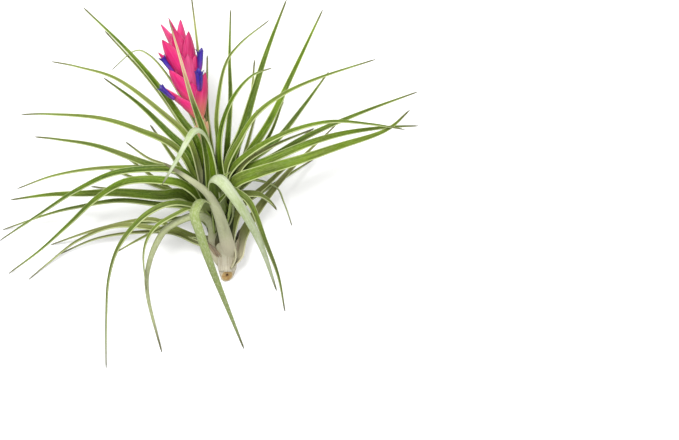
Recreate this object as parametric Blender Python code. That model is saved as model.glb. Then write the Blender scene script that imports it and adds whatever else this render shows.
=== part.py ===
"""A stricta air plant in flower, picked, lying on its side.

Lengths are in millimetres until a mesh is made, and X and Y are the plan that is seen from above.
The table is z = 0. The origin is on the table, under the middle of the plant's box.
"""

import math

import bmesh
import bpy
import numpy as np

MM = 0.001

# The line that the plant grew along, from the cut end of the stem to the tip of the flower head
GROWTH_LINE = [
    (9.5, -48.0, 3.5),
    (9.6, -42.0, 4.5),
    (9.2, -35.0, 7.6),
    (7.0, -24.0, 14.6),
    (4.5, -8.0, 25.0),
    (3.0, 4.0, 32.0),
    (1.0, 14.0, 37.5),
    (-1.5, 24.0, 42.0),
    (-4.0, 34.0, 45.0),
    (-10.5, 58.0, 50.0),
    (-17.6, 84.0, 54.3),
]
GAP = 0.3
MERGE = 5e-7

# The stem: radius, and how far it shows before the oldest leaves wrap it
STEM_RADIUS = 4.7
STEM_TAPER = (0.68, 0.88, 0.98, 1.0)
STEM_SIDES = 14
STEM_START = 2.4
STEM_END = 8.6
CUT_LEAN = (0.12, -0.72, 0.62)

# The bundle of sheaths in the middle: (distance up the growth line, radius)
SHEATHS = [(8.9, 4.6), (16.0, 5.6), (27.0, 7.0), (40.0, 8.2), (52.0, 7.6), (62.0, 5.4), (71.0, 3.4)]
SHEATH_SIDES = 12

# Blades
BLADE_STEPS = 14
LOWER_BLADE_STEPS = 8
BLADE_THICK = 1.3
TIP_THICK = 0.75
TIP_WIDTH = 1.0
CHANNEL = 0.24
TAPER = 0.85
# Leaves that keep their width longer or shorter than the others
OWN_TAPER = {"dd": 1.5, "p": 0.7, "t": 0.45, "v": 1.3, "w": 1.3}
# Leaves that twist as they turn, so that the same side stays up
TWISTING = ("m", "p")
# A midline is at least this high, and a tip below the second height touches the table
LOWEST_MIDDLE = 0.35
LOWEST_TIP = 0.5
# A leaf clasps the bundle from this far below its root, but no lower than the second distance
CLASP_BELOW = 9.0
LOWEST_CLASP = 10.6
CLASP_DEPTH = (0.7, 0.92)

# Each leaf: width, how far its channel turns up from the growth line (0 to 1, and below 0 it
# turns down), distance of its root up the growth line, and the points of its midline after that
LEAVES = {
    # Left side
    "a": (5.7, 0.6, 48, [(-14, 16, 42), (-34, 26.5, 48), (-54, 32.5, 46), (-79, 34.5, 36), (-93, 34.5, 27)]),
    "b": (5.9, 0.7, 42, [(-14, 5, 29), (-29, 9.5, 34), (-54, 18.5, 34), (-74, 22, 27), (-86.5, 23.5, 20)]),
    "c": (5.1, 0.6, 40, [(-12, 3.5, 26), (-29, 7.5, 30), (-54, 7.5, 28), (-76.5, 4, 19), (-95.5, -2.5, 8)]),
    "d": (5.9, 0.5, 46, [(-9, 3, 42), (-19, 7, 47), (-44, 5.5, 47), (-64, -3, 38), (-84, -15.5, 19), (-104.5, -28.5, 0.4)]),
    "e": (6.8, 0.6, 44, [(-9, -3, 44), (-19, 1, 50), (-39, 1, 50), (-54, -7, 42), (-69, -20.5, 26), (-84, -33.5, 10), (-100, -45, 0.4)]),
    "f": (8.1, 0.8, 36, [(-12, -6, 26), (-24, -6, 30), (-44, -4.5, 30), (-64, -5, 24), (-79, -5.5, 16), (-99, -8, 6)]),
    "g": (4.8, 0.5, 33, [(-10, -12, 23), (-24, -10.5, 25), (-44, -8.5, 24), (-64, -11.5, 17), (-79, -15, 9), (-103, -23, 0.4)]),
    "h": (5.3, 0.6, 20, [(-6.5, -27, 12), (-19, -21.5, 14), (-30, -18, 15), (-54, -22.5, 9), (-79, -30.5, 0.4)]),
    "i": (5.3, 0.7, 18, [(-6.5, -29, 13), (-19, -24, 18), (-44, -21, 17), (-64, -28, 9), (-79, -39, 2), (-90, -48, 0.4)]),
    "j": (4.0, 0.6, 22, [(-8, -26, 12), (-28, -24, 12), (-54, -27, 7), (-76.5, -36, 0.4)]),
    "k": (5.3, 0.9, 43, [(-14, -10, 44), (-24, -12, 48), (-34, -19, 47), (-44, -32, 40), (-49, -48, 28), (-50.5, -68, 13), (-51, -92.5, 0.4)]),
    "l": (2.9, 0.8, 38, [(-12, -18, 30), (-29, -25, 29), (-45.5, -34, 19)]),
    "m": (5.6, -0.9, 16, [(3.2, -29, 17), (2.6, -22, 27), (-0.5, -17.2, 33), (-6, -16, 37), (-13, -18, 38.5), (-22, -24, 36), (-29, -39, 27), (-30, -55.5, 14), (-23, -84.5, 0.4)]),
    "n": (3.7, 0.8, 42, [(-8, -12.5, 40), (-14, -14.5, 43), (-26, -22, 41), (-31.5, -34, 33), (-30.5, -53, 20)]),
    # Over the front
    "o": (7.6, -1.0, 44, [(-2.5, -8, 50), (-5, -10.5, 58), (-6.2, -16, 61), (-3.4, -25, 59), (1.2, -39, 50), (7.4, -55.5, 33), (18, -82.5, 1)]),
    "p": (9.0, -1.0, 14, [(10, -31, 22), (8, -22, 33), (5, -13, 42), (0, -4.5, 50), (-9, 2.5, 57), (-21.5, 10.5, 60)]),
    "q": (9.8, -1.0, 50, [(4, 8, 46), (3, 14, 51), (1, 21, 56), (-2, 26, 61.5), (-6, 26.5, 67), (-10, 21, 70), (-15, 11.5, 69.5), (-22, -0.5, 64)]),
    "r": (10.2, -1.0, 45, [(2.5, 0.5, 50), (4.5, 3.5, 60), (10, -1, 64), (19.5, -15, 57), (27.5, -31.5, 41), (34.5, -53.5, 15)]),
    "s": (5.1, 1.0, 42, [(9, -3, 42), (16, -5, 50), (22, -11, 50), (28.5, -28, 38), (35, -45.5, 18), (38.5, -64, 0.4)]),
    "t": (7.4, 0.9, 38, [(14, -7, 28), (24, -5.5, 28), (30, -8.5, 24), (34.5, -13, 20)]),
    "u": (4.2, 0.5, 36, [(18, 1, 20), (33, -1, 14), (38, -9.5, 8), (42, -21, 0.4)]),
    "v": (7.0, 0.5, 16, [(12.5, -26, 18), (17, -12, 23), (28, -2, 23), (46, 13, 20), (72, 20, 13)]),
    "w": (7.4, 0.4, 13, [(15, -35, 8), (18, -25, 9), (27, -10, 12), (42, 8, 12), (64, 29.5, 9)]),
    # Upper left
    "x": (6.2, 0.6, 50, [(-8, 13.5, 36), (-19, 25, 35), (-34, 39.5, 29), (-52, 53, 20)]),
    "y": (4.4, 0.8, 56, [(-9, 21.5, 41), (-21.5, 34.5, 44), (-44, 51.5, 40), (-64, 58, 31), (-78, 61, 22)]),
    "z": (5.5, 0.8, 58, [(-6, 22, 36), (-13, 32, 34), (-23, 46.5, 35), (-39, 65.5, 36), (-62, 88, 30)]),
    "aa": (3.3, 0.6, 54, [(-8, 20, 30), (-16.5, 34.5, 27), (-29, 51.5, 27), (-40, 64, 24), (-51.5, 76.5, 20)]),
    "bb": (3.1, 0.6, 60, [(-5, 27, 32), (-14, 44.5, 29), (-21.5, 56, 30), (-29, 64, 30), (-36.5, 66, 28), (-48, 56.5, 22)]),
    "cc": (5.5, 0.4, 56, [(-5, 20, 31), (-13, 33, 30), (-24, 50, 22)]),
    "dd": (8.0, 0.9, 62, [(-0.5, 20, 47), (-2.4, 28, 53), (-7.6, 43, 62), (-12.3, 59.5, 66), (-18.6, 81, 67)]),
    "ee": (2.6, 0.6, 63, [(1, 27, 36), (0, 40, 36), (0, 64, 32)]),
    "ff": (3.1, 0.6, 58, [(0, 26, 33), (-3, 48, 33), (-5, 69.5, 31), (-8, 93.5, 27)]),
    # Upper right
    "gg": (4.2, 0.7, 52, [(10, 20, 31), (11.5, 42, 31), (11, 62, 29), (11.5, 87, 24)]),
    "hh": (3.7, 0.7, 54, [(5.8, 12, 38), (5.6, 22, 42), (4.9, 34.5, 45), (8.5, 57, 46), (16, 69, 43), (31, 81.5, 35)]),
    "ii": (5.9, 0.9, 55, [(6.5, 16, 44), (8, 29.5, 51), (13.5, 43, 57), (22, 53, 58), (32.5, 57.5, 54)]),
    "jj": (7.3, 0.9, 52, [(11, 11, 35), (17.5, 27, 38), (23.5, 47, 38), (30, 67, 34), (39.5, 92, 27)]),
    "kk": (3.5, 0.6, 46, [(15, 16, 28), (21, 38, 27), (23.5, 62, 22)]),
    "ll": (5.9, 0.8, 48, [(18, 11, 31), (30, 29.5, 32), (42, 54, 30), (57.5, 87, 21)]),
    "mm": (3.3, 0.6, 44, [(18, 8, 24), (31, 24.5, 23), (40, 49, 18)]),
    "nn": (4.8, 0.8, 54, [(10, 9, 42), (16, 21, 50), (25, 34.5, 56), (38.5, 44.5, 56), (56, 52.5, 49), (84, 62, 33)]),
    "oo": (5.8, 0.7, 46, [(20, 10, 29), (33.5, 20.5, 31), (47.5, 38, 30), (60.5, 56, 26)]),
    # Right side
    "pp": (6.0, 0.7, 45, [(17, 4, 31), (33.5, 13.5, 35), (51, 24, 36), (76, 35, 31), (105, 46, 20)]),
    "qq": (5.8, 0.8, 51, [(12, 6, 41), (23.5, 16.5, 50), (41, 25.5, 54), (61, 30.5, 50), (81, 29.5, 39), (98.5, 27, 26)]),
    "rr": (7.0, 0.7, 46, [(15, 4, 37), (31, 11.5, 43), (51, 20, 43), (68.5, 25, 37), (88.5, 28, 25), (105.5, 29, 13)]),
    "ss": (9.4, 0.8, 43, [(14, 0, 40), (26, 5.5, 45), (46, 11.5, 48), (66, 18.5, 43), (88.5, 26.5, 31), (101, 37, 22)]),
    "tt": (4.0, 0.6, 49, [(18.5, 9.5, 44), (33.5, 19, 47), (53.5, 27.5, 45)]),
    # Young leaves in the heart
    "uu": (4.6, 0.7, 50, [(6, -2, 40), (8, 3, 47), (12, 6, 52)]),
    "vv": (5.0, 0.7, 44, [(5, -10, 36), (8.5, -6, 44), (12, -1, 48)]),
    # Behind the left side
    "ww": (3.7, 0.6, 38, [(-16, 6, 22), (-30, 13, 20), (-41, 21, 16)]),
}

# Leaves of the underside: they spread under the others by one rule, and bear on the table
UNDER_SEED = 7
# Bearing from above and reach of each one
UNDER_LEAVES = [
    (187, 62), (172, 64), (160, 60), (143, 62), (125, 62), (97, 66), (75, 66), (58, 62), (40, 62), (33, 56)
]
UNDER_WIDTH = 5.2
UNDER_ROOTS = (24, 46)

# The flower stalk
SCAPE_FOOT = 71.4
SCAPE_TOP = 90.6
SCAPE_RADIUS = (2.0, 2.6)
SCAPE_SIDES = 8
# Stalk bracts: bearing round the line (0 right, 90 up), start, tip, spread, width
STALK_BRACTS = [(14, 78, 90.2, 3.4, 5.2), (186, 76, 89.0, 3.4, 5.2)]

# The flower head: the spindle that the bracts grow from, (distance up the line, radius)
SPINDLE = [(90.9, 2.4), (101, 3.2), (113, 3.5), (125, 2.8), (137, 1.3)]
SPINDLE_SIDES = 8
BRACT_STEPS = 5
BRACT_THICK = 1.1
BRACT_CUP = 0.4
# How far a bract at the side turns its back to the top of the head
BRACT_TURN = 0.7
# How far a bract stands off at 28 %, at 62 % and at the end of its length, of the whole
BRACT_SPREAD = np.array([0.4, 0.7, 1.0])
# Each bract: bearing round the line, start, tip, how far the tip stands off, widest width
BRACTS = [
    (188, 94.6, 112.5, 14.6, 6.2),
    (152, 93.0, 106.5, 9.4, 6.8),
    (34, 93.2, 115.0, 10.4, 8.2),
    (80, 94.0, 112.0, 5.2, 8.0),
    (282, 95, 113, 8.0, 7.6),
    (235, 97, 116, 8.4, 8.0),
    (140, 99, 121, 10.8, 9.2),
    (330, 101, 122, 7.4, 8.0),
    (66, 102, 126.0, 6.4, 9.2),
    (170, 107, 130.0, 11.4, 7.6),
    (30, 104, 124.5, 7.4, 7.6),
    (265, 108, 129, 7.2, 8.2),
    (135, 109, 136.5, 10.8, 10.2),
    (48, 110, 137.0, 9.0, 8.6),
    (310, 114, 136, 6.0, 7.8),
    (98, 114, 140.4, 6.4, 9.4),
    (185, 119, 143.0, 6.4, 8.0),
    (24, 118, 142.9, 4.0, 8.0),
    (215, 122, 145.0, 2.2, 7.6),
]

# Each flower: bearing, start, tip, how far it stands off at the start and at the tip, radius
FLOWERS = [
    (52, 107, 117.3, 5.8, 9.6, 1.7),
    (20, 116, 126.6, 6.4, 9.8, 1.35),
    (178, 105.2, 113.4, 9.6, 15.0, 1.2),
    (160, 119, 127.8, 7.0, 10.8, 1.1),
]
FLOWER_SIDES = 6
PETAL_SPREAD = 0.8


def clear_scene():
    for obj in list(bpy.data.objects):
        bpy.data.objects.remove(obj, do_unlink=True)


def material(name, colour, roughness, metallic=0.0):
    made = bpy.data.materials.new(name)
    made.use_nodes = True
    shader = made.node_tree.nodes["Principled BSDF"]
    shader.inputs["Base Color"].default_value = (*colour, 1.0)
    shader.inputs["Roughness"].default_value = roughness
    shader.inputs["Metallic"].default_value = metallic
    return made


def unit(vectors):
    """Vectors of length 1 along the last axis."""
    vectors = np.asarray(vectors, float)
    size = np.linalg.norm(vectors, axis=-1, keepdims=True)
    return vectors / np.maximum(size, 1e-12)


def smooth_curve(points):
    """A Catmull-Rom curve through all the points, as many points, and the distance along it."""
    points = np.asarray(points, float)
    ends = np.vstack([2 * points[0] - points[1], points, 2 * points[-1] - points[-2]])
    t = np.linspace(0, 1, 24, endpoint=False)[:, None]
    dense = []
    for a, b, c, d in zip(ends, ends[1:], ends[2:], ends[3:]):
        dense.append(
            0.5
            * (
                2 * b
                + (c - a) * t
                + (2 * a - 5 * b + 4 * c - d) * t**2
                + (3 * b - a - 3 * c + d) * t**3
            )
        )
    dense = np.vstack([*dense, points[-1:]])
    steps = np.linalg.norm(np.diff(dense, axis=0), axis=1)
    return dense, np.concatenate([[0], np.cumsum(steps)])


def smooth_route(points, fractions):
    """Points at the given fractions of the length of the smooth curve through all the points."""
    dense, along = smooth_curve(points)
    wanted = np.asarray(fractions) * along[-1]
    return np.stack([np.interp(wanted, along, dense[:, k]) for k in range(3)], axis=1)


def growth_point(distance):
    """The points of the growth line at distances from the cut end, and the line's direction there."""
    distance = np.atleast_1d(np.asarray(distance, float))
    dense, along = smooth_curve(GROWTH_LINE)
    here, ahead, behind = (
        np.stack([np.interp(distance + shift, along, dense[:, k]) for k in range(3)], axis=1)
        for shift in (0.0, 1.0, -1.0)
    )
    return here, unit(ahead - behind)


def round_the_line(distance, bearing):
    """The direction square to the growth line at a bearing: 0 is to the right, 90 is up."""
    along = growth_point(distance)[1]
    right = unit(np.cross(along, (0, 0, 1.0)))
    up = np.cross(right, along)
    turn = np.radians(bearing)
    return np.cos(turn) * right + np.sin(turn) * up


def new_object(name, points, faces, finish):
    """An object from points in millimetres, with its faces turned outwards."""
    points = np.asarray(points, float) * MM
    mesh = bpy.data.meshes.new(name)
    mesh.from_pydata([tuple(p) for p in points], [], [tuple(f) for f in faces])
    mesh.validate()
    bm = bmesh.new()
    bm.from_mesh(mesh)
    bmesh.ops.recalc_face_normals(bm, faces=bm.faces)
    bmesh.ops.triangulate(bm, faces=bm.faces)
    if bm.calc_volume(signed=True) < 0:
        bmesh.ops.reverse_faces(bm, faces=bm.faces)
    bm.to_mesh(mesh)
    bm.free()
    mesh.materials.append(finish)
    obj = bpy.data.objects.new(name, mesh)
    bpy.context.scene.collection.objects.link(obj)
    return obj


def tube(name, distances, radii, sides, finish, end_normal=None):
    """A round solid along the growth line, with flat ends. end_normal leans the first end, and
    the rings behind it lean less and less."""
    centres, along = growth_point(distances)
    right = unit(np.cross(along, (0, 0, 1.0)))
    up = np.cross(right, along)
    turn = np.linspace(0, 2 * math.pi, sides, endpoint=False)
    ring = np.cos(turn)[None, :, None] * right[:, None] + np.sin(turn)[None, :, None] * up[:, None]
    points = centres[:, None] + ring * np.asarray(radii, float)[:, None, None]
    if end_normal is not None:
        lean = unit(end_normal)
        slide = ((points - centres[:, None]) @ lean) / (along[0] @ lean)
        fade = np.linspace(1, 0, len(distances))[:, None, None]
        points = points - fade * slide[..., None] * along[:, None]
    points[..., 2] = np.maximum(points[..., 2], 0.0)
    count = len(distances)
    flat = points.reshape(-1, 3)
    faces = []
    for i in range(count - 1):
        for j in range(sides):
            k = (j + 1) % sides
            faces.append((i * sides + j, i * sides + k, (i + 1) * sides + k, (i + 1) * sides + j))
    faces.append(tuple(range(sides))[::-1])
    faces.append(tuple(range((count - 1) * sides, count * sides)))
    return new_object(name, flat, faces, finish)


def blade_solid(name, middle, side, face, width, thick, cup, columns, finish):
    """A thin pointed blade. Across it, the upper and the lower skin meet at both edges, and the
    edges stand cup times the half width above the middle. Both skins have the same diagonals."""
    across = np.linspace(-1, 1, columns)
    half = width[:, None] / 2 * across
    rise = (width * cup)[:, None] * across**2
    wall = thick[:, None] / 2 * np.sqrt(1 - across**2)
    upper = middle[:, None] + half[..., None] * side[:, None] + (rise + wall)[..., None] * face[:, None]
    lower = middle[:, None] + half[..., None] * side[:, None] + (rise - wall)[..., None] * face[:, None]
    upper[..., 2] = np.maximum(upper[..., 2], wall * 2 + 0.02)
    lower[..., 2] = np.maximum(lower[..., 2], 0.0)
    lower[:, 0] = upper[:, 0]
    lower[:, -1] = upper[:, -1]
    rows = len(middle) - 1
    inner = columns - 2
    tip = middle[-1].copy()
    tip[2] = 0.0 if tip[2] < LOWEST_TIP else tip[2]
    points = np.vstack([upper[:rows].reshape(-1, 3), lower[:rows, 1:-1].reshape(-1, 3), tip[None]])
    top = np.arange(rows * columns).reshape(rows, columns)
    under = top.copy()
    under[:, 1:-1] = rows * columns + np.arange(rows * inner).reshape(rows, inner)
    last = len(points) - 1
    faces = []
    for i in range(rows - 1):
        for j in range(columns - 1):
            for skin, order in ((top, 1), (under, -1)):
                a, b, c, d = skin[i, j], skin[i, j + 1], skin[i + 1, j + 1], skin[i + 1, j]
                pair = ((a, b, c), (a, c, d)) if j < (columns - 1) / 2 else ((a, b, d), (b, c, d))
                faces.extend(tri[::order] for tri in pair)
    for j in range(columns - 1):
        faces.append((top[-1, j], top[-1, j + 1], last))
        faces.append((under[-1, j + 1], under[-1, j], last))
        ring = [top[0, j], top[0, j + 1], under[0, j + 1], under[0, j]]
        ring = [v for n, v in enumerate(ring) if v not in ring[:n]]
        faces.append(tuple(ring[::-1]))
    return new_object(name, points, faces, finish)


def blade_frame(middle, turn_up, along_line, twisting):
    """(side, face) unit vectors at each point of a midline.

    A strap bends only across its flat face, so its side runs along the axis that the midline
    bends about. A straight leaf has none, and there the side is square to the midline and to a
    direction between the growth line and up. A twisting one has that side all along. The face is
    the channelled side.
    """
    tangent = unit(np.gradient(middle, axis=0))
    chord = unit(middle[-1] - middle[1])
    facing = unit((1 - abs(turn_up)) * along_line + turn_up * np.array([0, 0, 1.0]))
    if twisting:
        side = unit(np.cross(tangent, facing))
        return side, np.cross(side, tangent)
    straight = unit(np.cross(chord, facing))
    bend = np.cross(tangent[:-1], tangent[1:]).sum(axis=0)
    bend = bend * (1.0 if bend @ straight >= 0 else -1.0)
    side = unit(straight + 1.5 * bend)
    side = unit(side - (tangent @ side)[:, None] * tangent)
    return side, np.cross(side, tangent)


def clasped_route(root, points):
    """The points of a leaf's midline, with two before the given ones, where the leaf clasps the
    bundle of sheaths on the side that it leaves by. Also the direction of the line there."""
    spots = np.array([max(root - CLASP_BELOW, LOWEST_CLASP), root])
    line, along = growth_point(spots)
    way = np.asarray(points[0], float) - line[1]
    out = unit(way - (way @ along[1]) * along[1])
    depth = np.interp(spots, *zip(*SHEATHS)) * CLASP_DEPTH
    return np.vstack([line + depth[:, None] * out, points]), along[1]


def leaf(name, width, turn_up, root, points, steps, finish):
    """A narrow channelled leaf: its width falls from the root to a fine tip by a power of the
    length that is left."""
    route, along_line = clasped_route(root, points)
    fractions = np.linspace(0, 1, steps + 1) ** 0.9
    middle = smooth_route(route, fractions)
    middle[:, 2] = np.maximum(middle[:, 2], LOWEST_MIDDLE)
    side, face = blade_frame(middle, turn_up, along_line, name in TWISTING)
    left = 1 - fractions
    wide = TIP_WIDTH + (width - TIP_WIDTH) * left ** OWN_TAPER.get(name, TAPER)
    thick = TIP_THICK + (BLADE_THICK - TIP_THICK) * left
    cup = np.full(len(middle), CHANNEL)
    return blade_solid(name, middle, side, face, wide, thick, cup, 3, finish)


def under_leaf(index, bearing, reach, draw, finish):
    """A leaf of the underside. It leaves the bundle of sheaths at a bearing, drops to the table
    at half its reach, and lies along it to the tip."""
    root = draw.uniform(*UNDER_ROOTS)
    start = growth_point(root)[0][0]
    way = np.array([math.cos(math.radians(bearing)), math.sin(math.radians(bearing)), 0.0])
    drop = [(0.25, 0.62), (0.5, 0.16), (0.7, 0.0), (1.0, 0.03)]
    points = [(*(start + way * reach * out)[:2], start[2] * height) for out, height in drop]
    name = f"under_{index}"
    return leaf(name, UNDER_WIDTH, 0.8, root, points, LOWER_BLADE_STEPS, finish)


def keep_main_body(obj):
    """Drops loose scraps and sealed hollows: only the largest connected skin stays."""
    bm = bmesh.new()
    bm.from_mesh(obj.data)
    bmesh.ops.remove_doubles(bm, verts=bm.verts, dist=MERGE)
    bmesh.ops.dissolve_degenerate(bm, edges=bm.edges, dist=MERGE)
    bmesh.ops.triangulate(bm, faces=bm.faces)
    unseen = set(bm.verts)
    groups = []
    while unseen:
        stack = [unseen.pop()]
        group = list(stack)
        while stack:
            for edge in stack.pop().link_edges:
                for other in edge.verts:
                    if other in unseen:
                        unseen.remove(other)
                        stack.append(other)
                        group.append(other)
        groups.append(group)
    main = max(groups, key=len)
    spare = [vert for group in groups if group is not main for vert in group]
    bmesh.ops.delete(bm, geom=spare, context="VERTS")
    bm.to_mesh(obj.data)
    bm.free()


def apply_boolean(obj, operation, others, solver="EXACT"):
    """One Boolean of obj with a collection of the others, applied. The others are removed."""
    group = bpy.data.collections.new(obj.name + "_parts")
    bpy.context.scene.collection.children.link(group)
    for other in others:
        bpy.context.scene.collection.objects.unlink(other)
        group.objects.link(other)
    modifier = obj.modifiers.new("join", "BOOLEAN")
    modifier.operation = operation
    modifier.operand_type = "COLLECTION"
    modifier.collection = group
    modifier.solver = solver
    graph = bpy.context.evaluated_depsgraph_get()
    made = bpy.data.meshes.new_from_object(obj.evaluated_get(graph))
    obj.modifiers.clear()
    obj.data = made
    for other in others:
        bpy.data.objects.remove(other, do_unlink=True)
    bpy.data.collections.remove(group)
    keep_main_body(obj)


def make_stem(finish):
    distances = np.linspace(STEM_START, STEM_END, len(STEM_TAPER))
    radii = [STEM_RADIUS * share for share in STEM_TAPER]
    return tube("stem", distances, radii, STEM_SIDES, finish, CUT_LEAN)


def make_rosette(finish):
    distances, radii = zip(*SHEATHS)
    rosette = tube("leaf_rosette", distances, radii, SHEATH_SIDES, finish)
    blades = []
    for name, (width, turn_up, root, points) in LEAVES.items():
        blades.append(leaf(name, width, turn_up, root, points, BLADE_STEPS, finish))
    draw = np.random.default_rng(UNDER_SEED)
    for index, (bearing, reach) in enumerate(UNDER_LEAVES, start=1):
        blades.append(under_leaf(index, bearing, reach, draw, finish))
    apply_boolean(rosette, "UNION", blades)
    return rosette


def bract(name, bearing, start, tip, stand_off, width, from_radius, finish):
    """A boat-shaped bract: it leaves the line at from_radius, bulges out, and points forward.
    Its width is a sine of the length to a power, so that it is widest below the middle. One at
    the side turns its back part of the way to the top of the head."""
    middle_of_it = (start + tip) / 2
    out = round_the_line(middle_of_it, bearing)[0]
    back = unit(out + BRACT_TURN * round_the_line(middle_of_it, 90)[0])
    reach = np.array([0.0, 0.28, 0.62, 1.0])
    off = np.array([from_radius, *np.maximum(stand_off * BRACT_SPREAD, from_radius)])
    spots = growth_point(start + (tip - start) * reach)[0] + off[:, None] * out
    fractions = np.linspace(0, 1, BRACT_STEPS + 1)
    middle = smooth_route(spots, fractions)
    tangent = unit(np.gradient(middle, axis=0))
    side = unit(np.cross(tangent, -back))
    face = np.cross(side, tangent)
    wide = 1.0 + (width - 1.0) * np.sin(math.pi * (0.2 + 0.8 * fractions)) ** 0.8
    thick = np.linspace(BRACT_THICK, 0.8, BRACT_STEPS + 1)
    cup = np.full(BRACT_STEPS + 1, BRACT_CUP)
    return blade_solid(name, middle, side, face, wide, thick, cup, 5, finish)


def make_scape(finish):
    distances = np.linspace(SCAPE_FOOT, SCAPE_TOP, 4)
    radii = np.linspace(*SCAPE_RADIUS, 4)
    scape = tube("scape", distances, radii, SCAPE_SIDES, finish)
    parts = []
    for index, (bearing, start, tip, off, width) in enumerate(STALK_BRACTS):
        parts.append(bract(f"stalk_bract_{index}", bearing, start, tip, off, width, 0.6, finish))
    apply_boolean(scape, "UNION", parts)
    return scape


def flower_solid(name, bearing, start, tip, low, high, radius, grow, finish):
    """A rolled tube of petals that leans out from the line and opens in three points. grow makes
    the same form larger all round, as the socket that the flower stands in."""
    out = round_the_line((start + tip) / 2, bearing)[0]
    reach = np.array([-grow / (tip - start), 0.25, 0.5, 0.75, 1.0])
    off = low + (high - low) * np.clip(reach, 0, 1) ** 0.8
    centres = growth_point(start + (tip - start) * reach)[0] + off[:, None] * out
    tangent = unit(np.gradient(centres, axis=0))
    side = unit(np.cross(tangent, out))
    other = np.cross(tangent, side)
    radii = radius * np.array([0.7, 0.9, 1.05, 1.15, 1.0]) + grow
    turn = np.linspace(0, 2 * math.pi, FLOWER_SIDES, endpoint=False)
    ring = np.cos(turn)[None, :, None] * side[:, None] + np.sin(turn)[None, :, None] * other[:, None]
    points = centres[:, None] + ring * radii[:, None, None]
    point_out = np.where(np.arange(FLOWER_SIDES) % 2 == 0, 1.0, -0.2) * PETAL_SPREAD
    points[-1] += point_out[:, None] * (tangent[-1] + 0.6 * ring[-1])
    rows = len(centres)
    faces = []
    for i in range(rows - 1):
        for j in range(FLOWER_SIDES):
            k = (j + 1) % FLOWER_SIDES
            a, b = i * FLOWER_SIDES + j, i * FLOWER_SIDES + k
            c, d = b + FLOWER_SIDES, a + FLOWER_SIDES
            faces.extend([(a, b, c), (a, c, d)])
    first, last = rows * FLOWER_SIDES, rows * FLOWER_SIDES + 1
    for j in range(FLOWER_SIDES):
        k = (j + 1) % FLOWER_SIDES
        faces.append((k, j, first))
        top = (rows - 1) * FLOWER_SIDES
        faces.append((top + j, top + k, last))
    ends = np.vstack([centres[0], centres[-1] + (0.3 + grow) * tangent[-1]])
    return new_object(name, np.vstack([points.reshape(-1, 3), ends]), faces, finish)


def make_head(finish, violet):
    distances, radii = zip(*SPINDLE)
    head = tube("bract_head", distances, radii, SPINDLE_SIDES, finish)
    parts = []
    for index, (bearing, start, tip, off, width) in enumerate(BRACTS):
        parts.append(bract(f"bract_{index}", bearing, start, tip, off, width, 1.6, finish))
    apply_boolean(head, "UNION", parts)
    sockets = []
    for index, spec in enumerate(FLOWERS, start=1):
        flower_solid(f"flower_{index}", *spec, 0.0, violet)
        sockets.append(flower_solid(f"socket_{index}", *spec, GAP, violet))
    apply_boolean(head, "DIFFERENCE", sockets)


def main():
    clear_scene()
    make_stem(material("stem_bark", (0.62, 0.52, 0.34), 0.8))
    make_rosette(material("leaf_green", (0.24, 0.36, 0.12), 0.6))
    make_scape(material("scape_salmon", (0.72, 0.42, 0.22), 0.55))
    pink = material("bract_pink", (0.86, 0.06, 0.26), 0.45)
    violet = material("petal_violet", (0.10, 0.03, 0.42), 0.45)
    make_head(pink, violet)


main()
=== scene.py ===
import math

import bpy
import numpy as np
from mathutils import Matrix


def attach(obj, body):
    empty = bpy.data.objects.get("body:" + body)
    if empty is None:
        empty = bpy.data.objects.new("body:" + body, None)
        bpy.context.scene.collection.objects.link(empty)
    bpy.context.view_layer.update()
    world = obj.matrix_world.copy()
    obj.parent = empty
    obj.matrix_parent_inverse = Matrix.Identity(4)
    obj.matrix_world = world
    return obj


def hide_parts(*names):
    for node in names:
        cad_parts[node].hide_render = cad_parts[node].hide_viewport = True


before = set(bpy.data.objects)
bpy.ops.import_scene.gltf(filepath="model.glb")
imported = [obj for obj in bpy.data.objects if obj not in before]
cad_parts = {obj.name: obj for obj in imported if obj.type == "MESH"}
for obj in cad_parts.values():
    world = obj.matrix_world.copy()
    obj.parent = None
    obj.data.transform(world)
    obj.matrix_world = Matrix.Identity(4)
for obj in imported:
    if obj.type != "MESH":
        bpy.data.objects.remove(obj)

# The looks of a stricta air plant in flower that lies on its side on a pale surface. Shapes are
# worked out in millimetres in the plant's own frame, as whole arrays, and put into the meshes in
# metres. X and Y are the plan seen from above, and the surface is z = 0.

MM = 0.001
UP = np.array([0.0, 0.0, 1.0])
# No point lies below the surface
SURFACE = (-math.inf, -math.inf, 0.0)
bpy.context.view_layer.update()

# The line that the plant grew along, from the cut end of the stem to the tip of the flower head
GROWTH_LINE = [
    (9.5, -48.0, 3.5), (9.6, -42.0, 4.5), (9.2, -35.0, 7.6), (7.0, -24.0, 14.6), (4.5, -8.0, 25.0),
    (3.0, 4.0, 32.0), (1.0, 14.0, 37.5), (-1.5, 24.0, 42.0), (-4.0, 34.0, 45.0),
    (-10.5, 58.0, 50.0), (-17.6, 84.0, 54.3),
]
# Points on each stretch of a smooth curve, and round a thick tube
CURVE_STEPS = 24
TUBE_ROUND = 48

# The stem: where it shows, and its radius, with its share at shares of the length
STEM_START = 2.4
STEM_END = 8.6
STEM_RINGS = 26
STEM_RADIUS = 4.7
STEM_TAPER_AT = (0.0, 0.33, 0.67, 1.0)
STEM_TAPER = (0.68, 0.88, 0.98, 1.0)
# Distances up the line of the first three shares, where old sheaths wrap the stem
STEM_PLACES = (STEM_START, 4.5, 6.5)
# Fibres of the bark: height as a share of the radius, number round the stem, and shift
BARK_FIBRES = [(0.018, 9, 0.0), (0.012, 17, 1.3)]
# The cut: its lean, its rings as shares of the outline, the pit's depth and width, and the bulge
CUT_LEAN = (0.12, -0.72, 0.62)
CUT_RINGS = np.linspace(0.04, 0.96, 12)
PIT_DEPTH = 0.9
PIT_WIDTH = 0.22
CUT_BULGE = 0.25

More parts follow.
